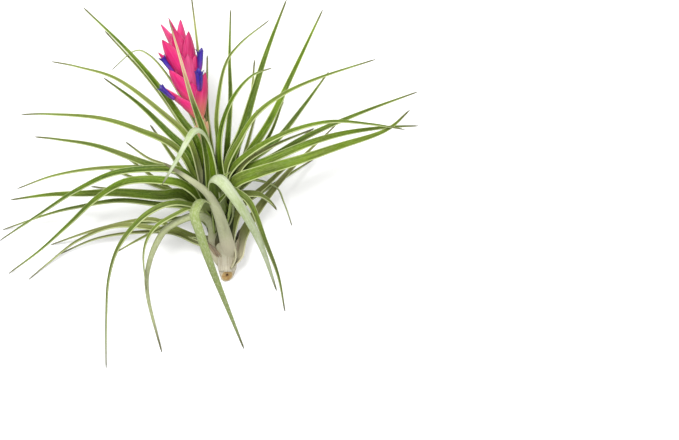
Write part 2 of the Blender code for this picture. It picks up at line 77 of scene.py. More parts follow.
# The bundle of sheaths in the middle: (distance up the growth line, radius), and its ridges
SHEATHS = [(8.9, 4.6), (16.0, 5.6), (27.0, 7.0), (40.0, 8.2), (52.0, 7.6), (62.0, 5.4), (71.0, 3.4)]
SHEATH_SCALE = 0.93
SHEATH_RINGS = 90
RIDGES = 5
RIDGE_HEIGHT = 0.045
RIDGE_CLIMB = 0.32

# Old sheaths round the base: bearing round the line, start, end, half angle, how far out they
# lie, and how dry they are (0 cream to 1 brown)
BASE_SHEATHS = [
    (262, 5.4, 21.0, 120, 1.02, 0.3),
    (150, 5.6, 20.0, 95, 1.05, 0.35),
    (20, 5.9, 23.0, 95, 1.07, 0.2),
    (84, 5.2, 27.0, 88, 1.1, 0.0),
    (168, 13.0, 27.5, 46, 1.24, 0.9),
    (196, 12.0, 24.0, 40, 1.2, 1.0),
    (140, 15.0, 25.0, 30, 1.2, 0.8),
    (2, 12.0, 26.0, 44, 1.16, 0.55),
]
OLD_STEPS = 40
OLD_THICK = 0.35
# The power of the length left that their half angle follows, and the least of it
OLD_TAPER = 0.45
OLD_POINT = 0.02
# How fast they lift, how far the upper end stands off, and the waves of the edge
LIFT_RATE = 3
LOOSE_END = 0.9
EDGE_WAVE = 0.05
EDGE_WAVES = 19

# Blades: steps along and where the last one is, points round, and size at the root and the tip
BLADE_STEPS = 60
LAST_RING = 0.997
BLADE_ROUND = 24
BLADE_THICK = 1.05
TIP_THICK = 0.5
TIP_WIDTH = 0.55
# The share of the length that closes to a point, and how narrow and thin it gets
POINT_LENGTH = 0.02
POINT_WIDTH = 0.15
POINT_THICK = 0.2
# The power of the length left that a blade's width follows, and leaves with one of their own
TAPER = 0.85
OWN_TAPER = {"dd": 1.5, "p": 0.7, "t": 0.45, "v": 1.3, "w": 1.3}
# Leaves that twist as they turn, so that the same side stays up
TWISTING = ("m", "p")
# How much the axis that a blade bends about counts in its side, and how much leaves twist
BEND_PULL = 1.5
TWIST_SPREAD = 0.16
LEAF_SEED = 11
# The angle of the channel's arc at the root and at the tip, and the least height of its middle
CHANNEL_ARC = math.radians(96)
ROLLED_ARC = math.radians(150)
LOWEST_MIDDLE = 0.35
# Where a blade clasps the stem: how much it swells, over which share of its length, its widest
# wrap, and how far below the root, how low and how deep, as shares of the bundle's radius, it is
CLASP = 0.7
CLASP_LENGTH = 0.26
WIDEST_WRAP = math.radians(200)
CLASP_BELOW = 9.0
LOWEST_CLASP = 10.6
CLASP_DEPTH = (0.35, 0.92)

# The leaves of each piece: width, how far the channel turns up from the growth line (0 to 1, and
# below 0 it turns down), distance of the root up that line, age (0 fresh to 1 dry), and the points
# of the midline
LEAVES = {}
LEAVES["leaves_left"] = {
    "a": (5.7, 0.6, 48, 0.25, [
        (-14, 16, 42), (-34, 26.5, 48), (-54, 32.5, 46), (-79, 34.5, 36), (-93, 34.5, 27),
    ]),
    "b": (5.9, 0.7, 42, 0.2, [
        (-14, 5, 29), (-29, 9.5, 34), (-54, 18.5, 34), (-74, 22, 27), (-86.5, 23.5, 20),
    ]),
    "c": (5.1, 0.6, 40, 0.3, [
        (-12, 3.5, 26), (-29, 7.5, 30), (-54, 7.5, 28), (-76.5, 4, 19), (-95.5, -2.5, 8),
    ]),
    "d": (5.9, 0.5, 46, 0.05, [
        (-9, 3, 42), (-19, 7, 47), (-44, 5.5, 47), (-64, -3, 38), (-84, -15.5, 19), (-104.5, -28.5, 0.4),
    ]),
    "e": (6.8, 0.6, 44, 0.05, [
        (-9, -3, 44), (-19, 1, 50), (-39, 1, 50), (-54, -7, 42), (-69, -20.5, 26), (-84, -33.5, 10),
        (-100, -45, 0.4),
    ]),
    "f": (8.1, 0.8, 36, 0.1, [
        (-12, -6, 26), (-24, -6, 30), (-44, -4.5, 30), (-64, -5, 24), (-79, -5.5, 16), (-99, -8, 6),
    ]),
    "g": (4.8, 0.5, 33, 0.2, [
        (-10, -12, 23), (-24, -10.5, 25), (-44, -8.5, 24), (-64, -11.5, 17), (-79, -15, 9),
        (-103, -23, 0.4),
    ]),
    "h": (5.3, 0.6, 20, 0.6, [
        (-6.5, -27, 12), (-19, -21.5, 14), (-30, -18, 15), (-54, -22.5, 9), (-79, -30.5, 0.4),
    ]),
    "i": (5.3, 0.7, 18, 0.55, [
        (-6.5, -29, 13), (-19, -24, 18), (-44, -21, 17), (-64, -28, 9), (-79, -39, 2), (-90, -48, 0.4),
    ]),
    "j": (4.0, 0.6, 22, 0.6, [(-8, -26, 12), (-28, -24, 12), (-54, -27, 7), (-76.5, -36, 0.4)]),
    "k": (5.3, 0.9, 43, 0.2, [
        (-14, -10, 44), (-24, -12, 48), (-34, -19, 47), (-44, -32, 40), (-49, -48, 28), (-50.5, -68, 13),
        (-51, -92.5, 0.4),
    ]),
    "l": (2.9, 0.8, 38, 0.4, [(-12, -18, 30), (-29, -25, 29), (-45.5, -34, 19)]),
    "m": (5.6, -0.9, 16, 0.6, [
        (3.2, -29, 17), (2.6, -22, 27), (-0.5, -17.2, 33), (-6, -16, 37), (-13, -18, 38.5), (-22, -24, 36),
        (-29, -39, 27), (-30, -55.5, 14), (-23, -84.5, 0.4),
    ]),
    "n": (3.7, 0.8, 42, 0.3, [
        (-8, -12.5, 40), (-14, -14.5, 43), (-26, -22, 41), (-31.5, -34, 33), (-30.5, -53, 20),
    ]),
    "ww": (3.7, 0.6, 38, 0.6, [(-16, 6, 22), (-30, 13, 20), (-41, 21, 16)]),
}
LEAVES["leaves_front"] = {
    "o": (7.6, -1.0, 44, 0.25, [
        (-2.5, -8, 50), (-5, -10.5, 58), (-6.2, -16, 61), (-3.4, -25, 59), (1.2, -39, 50), (7.4, -55.5, 33),
        (18, -82.5, 1),
    ]),
    "p": (9.0, -1.0, 14, 0.85, [
        (10, -31, 22), (8, -22, 33), (5, -13, 42), (0, -4.5, 50), (-9, 2.5, 57), (-21.5, 10.5, 60),
    ]),
    "q": (9.8, -1.0, 50, 0.0, [
        (4, 8, 46), (3, 14, 51), (1, 21, 56), (-2, 26, 61.5), (-6, 26.5, 67), (-10, 21, 70),
        (-15, 11.5, 69.5), (-22, -0.5, 64),
    ]),
    "r": (10.2, -1.0, 45, 0.1, [
        (2.5, 0.5, 50), (4.5, 3.5, 60), (10, -1, 64), (19.5, -15, 57), (27.5, -31.5, 41), (34.5, -53.5, 15),
    ]),
    "s": (5.1, 1.0, 42, 0.2, [
        (9, -3, 42), (16, -5, 50), (22, -11, 50), (28.5, -28, 38), (35, -45.5, 18), (38.5, -64, 0.4),
    ]),
    "t": (7.4, 0.9, 38, 0.45, [(14, -7, 28), (24, -5.5, 28), (30, -8.5, 24), (34.5, -13, 20)]),
    "u": (4.2, 0.5, 36, 0.3, [(18, 1, 20), (33, -1, 14), (38, -9.5, 8), (42, -21, 0.4)]),
    "v": (7.0, 0.5, 16, 0.7, [(12.5, -26, 18), (17, -12, 23), (28, -2, 23), (46, 13, 20), (72, 20, 13)]),
    "w": (7.4, 0.4, 13, 0.65, [(15, -35, 8), (18, -25, 9), (27, -10, 12), (42, 8, 12), (64, 29.5, 9)]),
    "uu": (4.6, 0.7, 50, 0.0, [(6, -2, 40), (8, 3, 47), (12, 6, 52)]),
    "vv": (5.0, 0.7, 44, 0.1, [(5, -10, 36), (8.5, -6, 44), (12, -1, 48)]),
}
LEAVES["leaves_upper_left"] = {
    "x": (6.2, 0.6, 50, 0.0, [(-8, 13.5, 36), (-19, 25, 35), (-34, 39.5, 29), (-52, 53, 20)]),
    "y": (4.4, 0.8, 56, 0.35, [
        (-9, 21.5, 41), (-21.5, 34.5, 44), (-44, 51.5, 40), (-64, 58, 31), (-78, 61, 22),
    ]),
    "z": (5.5, 0.8, 58, 0.0, [
        (-6, 22, 36), (-13, 32, 34), (-23, 46.5, 35), (-39, 65.5, 36), (-62, 88, 30),
    ]),
    "aa": (3.3, 0.6, 54, 0.3, [
        (-8, 20, 30), (-16.5, 34.5, 27), (-29, 51.5, 27), (-40, 64, 24), (-51.5, 76.5, 20),
    ]),
    "bb": (3.1, 0.6, 60, 0.1, [
        (-5, 27, 32), (-14, 44.5, 29), (-21.5, 56, 30), (-29, 64, 30), (-36.5, 66, 28), (-48, 56.5, 22),
    ]),
    "cc": (5.5, 0.4, 56, 0.0, [(-5, 20, 31), (-13, 33, 30), (-24, 50, 22)]),
    "dd": (8.0, 0.9, 62, 0.1, [
        (-0.5, 20, 47), (-2.4, 28, 53), (-7.6, 43, 62), (-12.3, 59.5, 66), (-18.6, 81, 67),
    ]),
    "ee": (2.6, 0.6, 63, 0.2, [(1, 27, 36), (0, 40, 36), (0, 64, 32)]),
    "ff": (3.1, 0.6, 58, 0.7, [(0, 26, 33), (-3, 48, 33), (-5, 69.5, 31), (-8, 93.5, 27)]),
}
LEAVES["leaves_upper_right"] = {
    "gg": (4.2, 0.7, 52, 0.0, [(10, 20, 31), (11.5, 42, 31), (11, 62, 29), (11.5, 87, 24)]),
    "hh": (3.7, 0.7, 54, 0.15, [
        (5.8, 12, 38), (5.6, 22, 42), (4.9, 34.5, 45), (8.5, 57, 46), (16, 69, 43), (31, 81.5, 35),
    ]),
    "ii": (5.9, 0.9, 55, 0.0, [
        (6.5, 16, 44), (8, 29.5, 51), (13.5, 43, 57), (22, 53, 58), (32.5, 57.5, 54),
    ]),
    "jj": (7.3, 0.9, 52, 0.05, [
        (11, 11, 35), (17.5, 27, 38), (23.5, 47, 38), (30, 67, 34), (39.5, 92, 27),
    ]),
    "kk": (3.5, 0.6, 46, 0.5, [(15, 16, 28), (21, 38, 27), (23.5, 62, 22)]),
    "ll": (5.9, 0.8, 48, 0.0, [(18, 11, 31), (30, 29.5, 32), (42, 54, 30), (57.5, 87, 21)]),
    "mm": (3.3, 0.6, 44, 0.1, [(18, 8, 24), (31, 24.5, 23), (40, 49, 18)]),
    "nn": (4.8, 0.8, 54, 0.2, [
        (10, 9, 42), (16, 21, 50), (25, 34.5, 56), (38.5, 44.5, 56), (56, 52.5, 49), (84, 62, 33),
    ]),
    "oo": (5.8, 0.7, 46, 0.05, [(20, 10, 29), (33.5, 20.5, 31), (47.5, 38, 30), (60.5, 56, 26)]),
}
LEAVES["leaves_right"] = {
    "pp": (6.0, 0.7, 45, 0.1, [(17, 4, 31), (33.5, 13.5, 35), (51, 24, 36), (76, 35, 31), (105, 46, 20)]),
    "qq": (5.8, 0.8, 51, 0.1, [
        (12, 6, 41), (23.5, 16.5, 50), (41, 25.5, 54), (61, 30.5, 50), (81, 29.5, 39), (98.5, 27, 26),
    ]),
    "rr": (7.0, 0.7, 46, 0.1, [
        (15, 4, 37), (31, 11.5, 43), (51, 20, 43), (68.5, 25, 37), (88.5, 28, 25), (105.5, 29, 13),
    ]),
    "ss": (9.4, 0.8, 43, 0.15, [
        (14, 0, 40), (26, 5.5, 45), (46, 11.5, 48), (66, 18.5, 43), (88.5, 26.5, 31), (101, 37, 22),
    ]),
    "tt": (4.0, 0.6, 49, 0.5, [(18.5, 9.5, 44), (33.5, 19, 47), (53.5, 27.5, 45)]),
}

# Leaves whose outer half fades to pinkish cream
BLUSHED = ("dd",)
# Leaves whose outer side is white with scurf
PALE = ("q", "r")

# Leaves of the underside: bearing from above and reach of each one
UNDER_SEED = 7
UNDER_LEAVES = [
    (187, 62), (172, 64), (160, 60), (143, 62), (125, 62), (97, 66), (75, 66), (58, 62), (40, 62), (33, 56),
]
UNDER_ROOTS = (24, 46)
UNDER_WIDTH = 5.2
UNDER_TURN_UP = 0.8
UNDER_AGE = 0.4
# How they drop to the surface: (share of the reach, share of the root's height)
UNDER_DROP = [(0.25, 0.62), (0.5, 0.16), (0.7, 0.0), (1.0, 0.03)]

# The flower stalk, (distance up the line, radius), and its bracts: bearing round the line, start,
# tip, spread, width
STALK = [(69.9, 2.0), (91.6, 2.6)]
STALK_BRACTS = [(14, 78, 90.2, 3.4, 5.2), (186, 76, 89.0, 3.4, 5.2)]
STALK_AXIS = 0.6

# The flower head: the spindle that the bracts grow from, (distance up the line, radius)
SPINDLE = [(90.9, 2.4), (101, 3.2), (113, 3.5), (125, 2.8), (137, 1.3)]
SPINDLE_SCALE = 0.9
AXIS_RINGS = 24
AXIS_ROUND = 32
# Bracts: how far from the line they start, their steps, and their thickness at the foot and tip
HEAD_AXIS = 1.6
BRACT_STEPS = 40
BRACT_THICK = (0.75, 0.4)
# The angle of a bract's arc, and how much of it opens towards the tip
BRACT_ARC = math.radians(132)
BRACT_OPENS = 0.25
# Their width: how much more than the table says, at the tip, where in its half wave it starts,
# and the power that fills the wave
BRACT_WIDEN = 1.12
BRACT_TIP = 0.2
BRACT_FOOT = 0.2
BRACT_FULL = 0.8
# How far a bract at the side turns its back to the top of the head
BRACT_TURN = 0.7
# Shares of a bract's length, and at the last three how far it stands off, of the whole
BRACT_REACH = np.array([0.0, 0.28, 0.62, 1.0])
BRACT_SPREAD = np.array([0.4, 0.7, 1.0])
# Where the tones start to change up the line, over what length, and the step between neighbours
LOWEST_TONE = 94.0
TONE_LENGTH = 30.0
TONE_STEP = 0.618
# Each bract: bearing round the line, start, tip, how far the tip stands off, widest width
BRACTS = [
    (188, 94.6, 112.5, 14.6, 6.2),
    (152, 93.0, 106.5, 9.4, 6.8),
    (34, 93.2, 115.0, 10.4, 8.2),
    (80, 94.0, 112.0, 5.2, 8.0),
    (282, 95, 113, 8.0, 7.6),
    (235, 97, 116, 8.4, 8.0),
    (140, 99, 121, 10.8, 9.2),
    (330, 101, 122, 7.4, 8.0),
    (66, 102, 126.0, 6.4, 9.2),
    (170, 107, 130.0, 11.4, 7.6),
    (30, 104, 124.5, 7.4, 7.6),
    (265, 108, 129, 7.2, 8.2),
    (135, 109, 136.5, 10.8, 10.2),
    (48, 110, 137.0, 9.0, 8.6),
    (310, 114, 136, 6.0, 7.8),
    (98, 114, 140.4, 6.4, 9.4),
    (185, 119, 143.0, 6.4, 8.0),
    (24, 118, 142.9, 4.0, 8.0),
    (215, 122, 145.0, 2.2, 7.6),
]

# Each flower: bearing, start, tip, how far it stands off at the start and at the tip, radius
FLOWERS = [
    (52, 107, 117.3, 5.8, 9.6, 1.7),
    (20, 116, 126.6, 6.4, 9.8, 1.35),
    (178, 105.2, 113.4, 9.6, 15.0, 1.2),
    (160, 119, 127.8, 7.0, 10.8, 1.1),
]
FLOWER_STEPS = 30
# The power of the length that a flower leans out by
FLOWER_LEAN = 0.8
PETALS = 3
PETAL_THICK = 0.32
PETAL_LENGTH = 12
# A petal's distance from the middle and its width, as shares of the flower's radius, and its arc,
# each as (share of the length, value)
PETAL_STANDS = [(0, 0.6), (0.3, 0.8), (0.7, 0.95), (1, 1.0)]
PETAL_WIDTHS = [(0, 1.75), (0.3, 2.25), (0.7, 2.5), (0.86, 2.0), (1, 0.25)]
PETAL_ARCS = [(0, 2.2), (0.7, 2.1), (1, 1.0)]
# Where petals begin to flare, and how far the ends stand out
FLARE_START = 0.66
FLARE = 0.9

# The grain that fibres follow, in millimetres: from blade to blade and through one, for 1 radian
# round the thick tubes and the slim ones, and along the cut and the axis
GRAIN_APART = 17.0
GRAIN_DEPTH = 0.9
THICK_GRAIN = 5
SLIM_GRAIN = 3
CUT_GRAIN = 8
AXIS_GRAIN = 40

# Colours as a screen shows them, or two for the ends of a range. First those of the leaves
CHANNEL = (52, 88, 0), (102, 136, 4)
CHANNEL_SHADE = (26, 52, 0)
CHANNEL_SCURF = (208, 222, 150)
OUTER = (114, 140, 48), (162, 180, 96)
PALE_OUTER = (206, 216, 186), (148, 170, 104)
WHITE_SCURF = (236, 242, 222)
LEAF_LINES = (160, 186, 48)
DRY_CHANNEL = (168, 166, 106)
DRY_OUTER = (212, 208, 186), (176, 176, 146)
BLUSH = (236, 198, 176), (196, 128, 108)
# Painted highlight along the edges of the leaves
LEAF_EDGE_HIGHLIGHT = (226, 236, 170)
LEAF_BASE = (134, 160, 44), (228, 218, 190)
DRY_TIP = (98, 92, 66)
# The bundle of sheaths, and the old ones round the base
BUNDLE = (204, 194, 150), (140, 126, 80)
# Painted shade: the upper part of the bundle, dark as the shade deep between the leaves
BUNDLE_PAINTED_SHADE = (52, 66, 18)
BUNDLE_LINES = (50, 52, 22)
OLD_CREAM = (230, 222, 196), (190, 192, 150)
OLD_STREAK = (176, 156, 118)
OLD_SCURF = (240, 236, 220)
DRY_BROWN = (150, 118, 76), (84, 60, 36)
DRY_TAN = (196, 172, 130)
OLD_RIM = (140, 116, 80)
# The stem's bark and its cut wood
BARK = (238, 230, 208), (190, 168, 128)
BARK_SHADE = (176, 148, 104)
WOOD = (244, 208, 134), (216, 164, 92)
WOOD_LINES = (190, 136, 72)
WOOD_PIT = (116, 72, 40)
WOOD_RIM = (244, 230, 196)
# The bracts, the stalk and the petals
PINK = (206, 0, 102), (244, 4, 124)
LIGHT_PINK = (250, 112, 166)
PINK_SHADE = (176, 0, 80)
PINK_LINES = (252, 90, 160)
# Painted shade for the feet of bracts under the ones that overlap them
OVERLAP_SHADE_PINK = (132, 0, 56)
CORAL = (240, 142, 112)
PINK_EDGE = (255, 150, 192)
PINK_POINT = (140, 20, 60)
SALMON = (204, 192, 112), (240, 170, 130)
STALK_RED = (228, 126, 96)
STALK_LINES = (238, 218, 170)
VIOLET = (140, 40, 150), (40, 6, 150)
PETAL_LINES = (92, 48, 206)
PETAL_EDGE = (20, 2, 64)
PAPER = (250, 250, 250)
WHITE = (1, 1, 1, 1)
# The height of a finish's relief, in metres
RELIEF = 0.0003

# The camera looks straight down from far above the middle of the picture
PICTURE_WIDTH = 339.5
PICTURE_MIDDLE = (65.75, -18.0)
CAMERA_HEIGHT = 6000.0
SENSOR = 36.0
# In metres: how far the camera sees, and half the floor and how far down it lies
CAMERA_REACH = 20.0
FLOOR_HALF = 3.0
FLOOR_DROP = 0.0002
# The floor is a light table, with some light of its own
FLOOR_GLOW = 0.34
# Soft lights that face the plant's middle: place, size and power in watts
LIGHTS = {"key": ((-0.25, 0.4, 1.2), 0.45, 23.0), "fill": ((0.45, -0.25, 1.2), 0.8, 7.0)}
PLANT_MIDDLE = (0, 0, 0.03)
ROOM_LIGHT = 0.5
# How much brighter the light is than white paper needs
STUDIO_LIGHT = 1.6


def unit(vectors):
    """Vectors of length 1 along the last axis."""
    vectors = np.asarray(vectors, float)
    size = np.linalg.norm(vectors, axis=-1, keepdims=True)
    return vectors / np.maximum(size, 1e-12)


def profile(table, places):
    """Values at places, in straight steps between those of a table of (place, value)."""
    return np.interp(places, *zip(*table))


def full_turn(around):
    """Angles once round, without the last, which is the first again."""
    return np.linspace(0, 2 * math.pi, around, endpoint=False)


def smooth_curve(points):
    """A Catmull-Rom curve through all the points, as many points, and the distance along it. On
    each stretch it is the cubic that matches the two ends and the slopes set by their neighbours."""
    points = np.asarray(points, float)
    ends = np.vstack([2 * points[0] - points[1], points, 2 * points[-1] - points[-2]])
    a, b, c, d = (ends[k : len(ends) - 3 + k, None] for k in range(4))
    t = np.linspace(0, 1, CURVE_STEPS, endpoint=False)[None, :, None]
    dense = 0.5 * (
        2 * b + (c - a) * t + (2 * a - 5 * b + 4 * c - d) * t**2 + (3 * b - a - 3 * c + d) * t**3
    )
    dense = np.vstack([dense.reshape(-1, 3), points[-1:]])
    steps = np.linalg.norm(np.diff(dense, axis=0), axis=1)
    return dense, np.concatenate([[0], np.cumsum(steps)])


def points_along(dense, along, distances):
    """Points at the distances along a curve that is given as many points."""
    return np.stack([np.interp(distances, along, dense[:, k]) for k in range(3)], axis=1)


def smooth_route(points, fractions):
    """Points at the fractions of the length of the smooth curve through all the points."""
    dense, along = smooth_curve(points)
    return points_along(dense, along, fractions * along[-1])


def growth_point(distance):
    """The points of the growth line at distances from the cut end, and the line's direction
    there, taken from the points 1 mm ahead and behind."""
    distance = np.atleast_1d(np.asarray(distance, float))
    dense, along = smooth_curve(GROWTH_LINE)
    here, ahead, behind = (points_along(dense, along, distance + shift) for shift in (0, 1, -1))
    return here, unit(ahead - behind)


def round_the_line(distance, bearing):
    """The direction square to the growth line at a bearing: 0 is to the right, 90 is up."""
    along = growth_point(distance)[1]
    right = unit(np.cross(along, UP))
    up = np.cross(right, along)
    turn = np.radians(bearing)
    return np.cos(turn) * right + np.sin(turn) * up


def closed_skin(rings):
    """Points and faces of a closed skin over rings, an array of rings by points round by 3. Each
    ring joins the next by quads, and the middle of each end ring closes it."""
    count, around = rings.shape[:2]
    grid = np.arange(count * around).reshape(count, around)
    following = np.roll(grid, -1, axis=1)
    quads = np.stack([grid[:-1], following[:-1], following[1:], grid[1:]], axis=-1).reshape(-1, 4)
    first = np.full(around, count * around)
    last = first + 1
    start_cap = np.stack([following[0], grid[0], first], axis=-1)
    end_cap = np.stack([grid[-1], following[-1], last], axis=-1)
    ends = np.stack([rings[0].mean(axis=0), rings[-1].mean(axis=0)])
    return np.vstack([rings.reshape(-1, 3), ends]), quads, np.vstack([start_cap, end_cap])


def with_ends(values):
    """Values of a grid of rings as one row a point, with the mean of each end ring after them, in
    the order of closed_skin's points."""
    flat = values.reshape(-1, values.shape[-1])
    return np.vstack([flat, values[0].mean(axis=0), values[-1].mean(axis=0)])


def skin_volume(points, quads, caps):
    """Six times the volume inside a skin, by the sum of the triple products of its triangles. It
    is negative where the faces point inwards."""
    triangles = np.vstack([quads[:, [0, 1, 2]], quads[:, [0, 2, 3]], caps])
    centred = points - points.mean(axis=0)
    a, b, c = (centred[triangles[:, k]] for k in range(3))
    return np.einsum("ij,ij->", a, np.cross(b, c))


def add_piece(name, skins, finish, replaced):
    """A piece from skins, each (rings, {attribute: values a ring point}). Its points go into the
    mesh in metres, and it rides on the plant's one body."""
    points, faces, marks, start = [], [], {}, 0
    for rings, values in skins:
        skin, quads, caps = closed_skin(np.maximum(rings, SURFACE))
        inward = skin_volume(skin, quads, caps) < 0
        quads, caps = (f[:, ::-1] if inward else f for f in (quads, caps))
        points.append(skin)
        faces.extend((quads + start).tolist())
        faces.extend((caps + start).tolist())
        for key, value in values.items():
            marks.setdefault(key, []).append(with_ends(value))
        start += len(skin)
    mesh = bpy.data.meshes.new(name)
    mesh.from_pydata(np.vstack(points) * MM, [], faces)
    for key, value in marks.items():
        layer = mesh.attributes.new(key, "FLOAT_VECTOR", "POINT")
        layer.data.foreach_set("vector", np.vstack(value).astype(np.float32).ravel())
    mesh.shade_smooth()
    mesh.materials.append(finish)
    mesh.validate()
    piece = bpy.data.objects.new(name, mesh)
    bpy.context.scene.collection.objects.link(piece)
    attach(piece, "root")
    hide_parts(*replaced)


def point_values(rings, *values):
    """The values side by side at each point of the rings. Each is one number, a list with one a
    ring, or a grid that fits the rings and the points round them."""
    grids = (np.reshape(value, (-1, 1)) if np.ndim(value) == 1 else value for value in values)
    return np.stack([np.broadcast_to(grid, rings.shape[:2]) for grid in grids], axis=-1)


def blade_rings(middle, side, face, width, thick, arc):
    """Rings of a thin blade, and (across, skin) round them, where across runs from -1 to 1
    between the edges and skin from -1, the outer one, to 1, the channelled one.

    Across it the middle surface is a circular arc of the width's length and the given angle,
    with its edges turned to the face side. The skins stand off it by half the thickness times
    the fourth root of 1 less across to the fourth, which rounds the edges.
    """
    turn = full_turn(BLADE_ROUND)[None] + math.pi / BLADE_ROUND
    across = np.cos(turn)
    skin = np.sign(np.sin(turn)) * (1 - across**4) ** 0.25
    radius = (width / arc)[:, None]
    angle = arc[:, None] * across / 2
    stand = thick[:, None] / 2 * skin
    sideways = radius * np.sin(angle) - stand * np.sin(angle)
    upwards = radius * (1 - np.cos(angle)) + stand * np.cos(angle)
    rings = middle[:, None] + sideways[..., None] * side[:, None] + upwards[..., None] * face[:, None]
    return rings, (across, skin)


def grain_of(rings, marks, width, along, number):
    """Coordinates in millimetres for the fibres of a blade: across it, along it, and through it,
    where the blade's own number also keeps it apart from the others."""
    across, skin = marks
    through = GRAIN_APART * number + GRAIN_DEPTH * skin
    return point_values(rings, across * width[:, None] / 2, along, through)


def blade_frame(middle, turn_up, along_line, twisting):
    """(side, face) unit vectors at each point of a midline.

    A strap bends only across its flat face, so its side runs along the axis that the midline
    bends about. A straight leaf has none, and its side is square to its chord, which starts an
    eighth of the way along, and to a direction between the growth line and up. A twisting one
    is square to that all along. The face is the channelled side.
    """
    tangent = unit(np.gradient(middle, axis=0))
    facing = unit((1 - abs(turn_up)) * along_line + turn_up * UP)
    if twisting:
        side = unit(np.cross(tangent, facing))
        return side, np.cross(side, tangent)
    chord = unit(middle[-1] - middle[len(middle) // 8])
    straight = unit(np.cross(chord, facing))
    bend = np.cross(tangent[:-1], tangent[1:]).sum(axis=0)
    bend = bend * (1.0 if bend @ straight >= 0 else -1.0)
    side = unit(straight + BEND_PULL * bend)
    side = unit(side - (tangent @ side)[:, None] * tangent)
    return side, np.cross(side, tangent)


def clasped_route(root, points):
    """The points of a leaf's midline, with two before the given ones, where the leaf clasps the
    bundle of sheaths on the side that it leaves by. Also the direction of the line there."""
    spots = np.array([max(root - CLASP_BELOW, LOWEST_CLASP), root])
    line, along = growth_point(spots)
    way = np.asarray(points[0], float) - line[1]
    out = unit(way - (way @ along[1]) * along[1])
    depth = profile(SHEATHS, spots) * CLASP_DEPTH
    return np.vstack([line + depth[:, None] * out, points]), along[1]


def base_radius(distances):
    """The radius of the stem, and above it of the bundle of sheaths."""
    stem = [(place, STEM_RADIUS * share) for place, share in zip(STEM_PLACES, STEM_TAPER)]
    return profile(stem + SHEATHS, distances)


def leaf_skin(number, width, turn_up, root, age, points, draw, key=""):
    """A channelled leaf. Its width falls from the root to a fine tip by a power of the length that
    is left, and swells where it clasps the stem, which the channel wraps there. The channel rolls
    up towards the tip by the cube of the length, and the leaf twists by a sine of it, squared."""
    route, along_line = clasped_route(root, points)
    fractions = np.linspace(0, LAST_RING, BLADE_STEPS)
    middle = smooth_route(route, fractions)
    middle[:, 2] = np.maximum(middle[:, 2], LOWEST_MIDDLE)
    side, face = blade_frame(middle, turn_up, along_line, key in TWISTING)
    twist = draw.normal(0, TWIST_SPREAD) * np.sin(math.pi * fractions[:, None]) ** 2
    cosine, sine = np.cos(twist), np.sin(twist)
    side, face = cosine * side + sine * face, cosine * face - sine * side
    left = 1 - fractions
    clasping = np.clip(1 - fractions / CLASP_LENGTH, 0, 1)
    wide = TIP_WIDTH + (width - TIP_WIDTH) * left ** OWN_TAPER.get(key, TAPER)
    wide *= 1 + CLASP * clasping**2
    wide *= np.clip(left / POINT_LENGTH, POINT_WIDTH, 1) ** 0.5
    thick = TIP_THICK + (BLADE_THICK - TIP_THICK) * left
    thick *= np.clip(left / POINT_LENGTH, POINT_THICK, 1) ** 0.5
    arc = CHANNEL_ARC + (ROLLED_ARC - CHANNEL_ARC) * fractions**3
    wrap = min(wide[0] / base_radius(root), WIDEST_WRAP)
    arc += max(wrap - CHANNEL_ARC, 0.0) * clasping
    rings, marks = blade_rings(middle, side, face, wide, thick, arc)
    length = np.linalg.norm(np.diff(middle, axis=0), axis=1).sum()
    tone = draw.uniform() + float(key in PALE)
    values = {
        "blade": point_values(rings, fractions, *marks),
        "leaf": point_values(rings, tone, age, float(key in BLUSHED)),
        "grain": grain_of(rings, marks, wide, fractions * length, number),
    }
    return rings, values


def under_points(bearing, reach, root):
    """The midline of an underside leaf. It leaves the bundle of sheaths at a bearing, drops to the
    surface well before its tip, and lies along it."""
    start = growth_point(root)[0][0]
    turn = math.radians(bearing)
    way = reach * np.array([math.cos(turn), math.sin(turn)])
    return [(*(start[:2] + out * way), start[2] * height) for out, height in UNDER_DROP]


def make_leaves(finish):
    """Each group of leaves is one piece, and so are the leaves of the underside."""
    draw = np.random.default_rng(LEAF_SEED)
    number = 0
    for name, leaves in LEAVES.items():
        skins = []
        for key, leaf in leaves.items():
            number += 1
            skins.append(leaf_skin(number, *leaf, draw, key))
        add_piece(name, skins, finish, ["leaf_rosette"])
    under_draw = np.random.default_rng(UNDER_SEED)
    skins = []
    for bearing, reach in UNDER_LEAVES:
        number += 1
        root = under_draw.uniform(*UNDER_ROOTS)
        leaf = (UNDER_WIDTH, UNDER_TURN_UP, root, UNDER_AGE, under_points(bearing, reach, root))
        skins.append(leaf_skin(number, *leaf, draw))
    add_piece("leaves_under", skins, finish, ["leaf_rosette"])


def tube_rings(distances, radii, turn):
    """Rings square to the growth line, with a point at each angle of turn. The radii are one a
    ring, or one a point."""
    centres, along = growth_point(distances)
    right = unit(np.cross(along, UP))
    up = np.cross(right, along)
    ring = np.cos(turn)[None, :, None] * right[:, None] + np.sin(turn)[None, :, None] * up[:, None]
    return centres[:, None] + ring * np.reshape(radii, (len(distances), -1, 1))


def make_sheath_bundle(finish):
    """The overlapped leaf bases: a tube whose radius follows the bundle, with low ridges by a
    cosine of the bearing that climbs with the distance."""
    distances = np.linspace(SHEATHS[0][0], SHEATHS[-1][0], SHEATH_RINGS)
    turn = full_turn(TUBE_ROUND)
    ridges = 1 + RIDGE_HEIGHT * np.cos(RIDGES * turn + RIDGE_CLIMB * distances[:, None])
    radii = SHEATH_SCALE * profile(SHEATHS, distances)
    rings = tube_rings(distances, radii[:, None] * ridges, turn)
    values = {
        "body": point_values(rings, np.linspace(0, 1, SHEATH_RINGS), 0, 0),
        "grain": point_values(rings, THICK_GRAIN * turn[None], distances, 0),
    }
    add_piece("sheath_bundle", [(rings, values)], finish, ["leaf_rosette"])


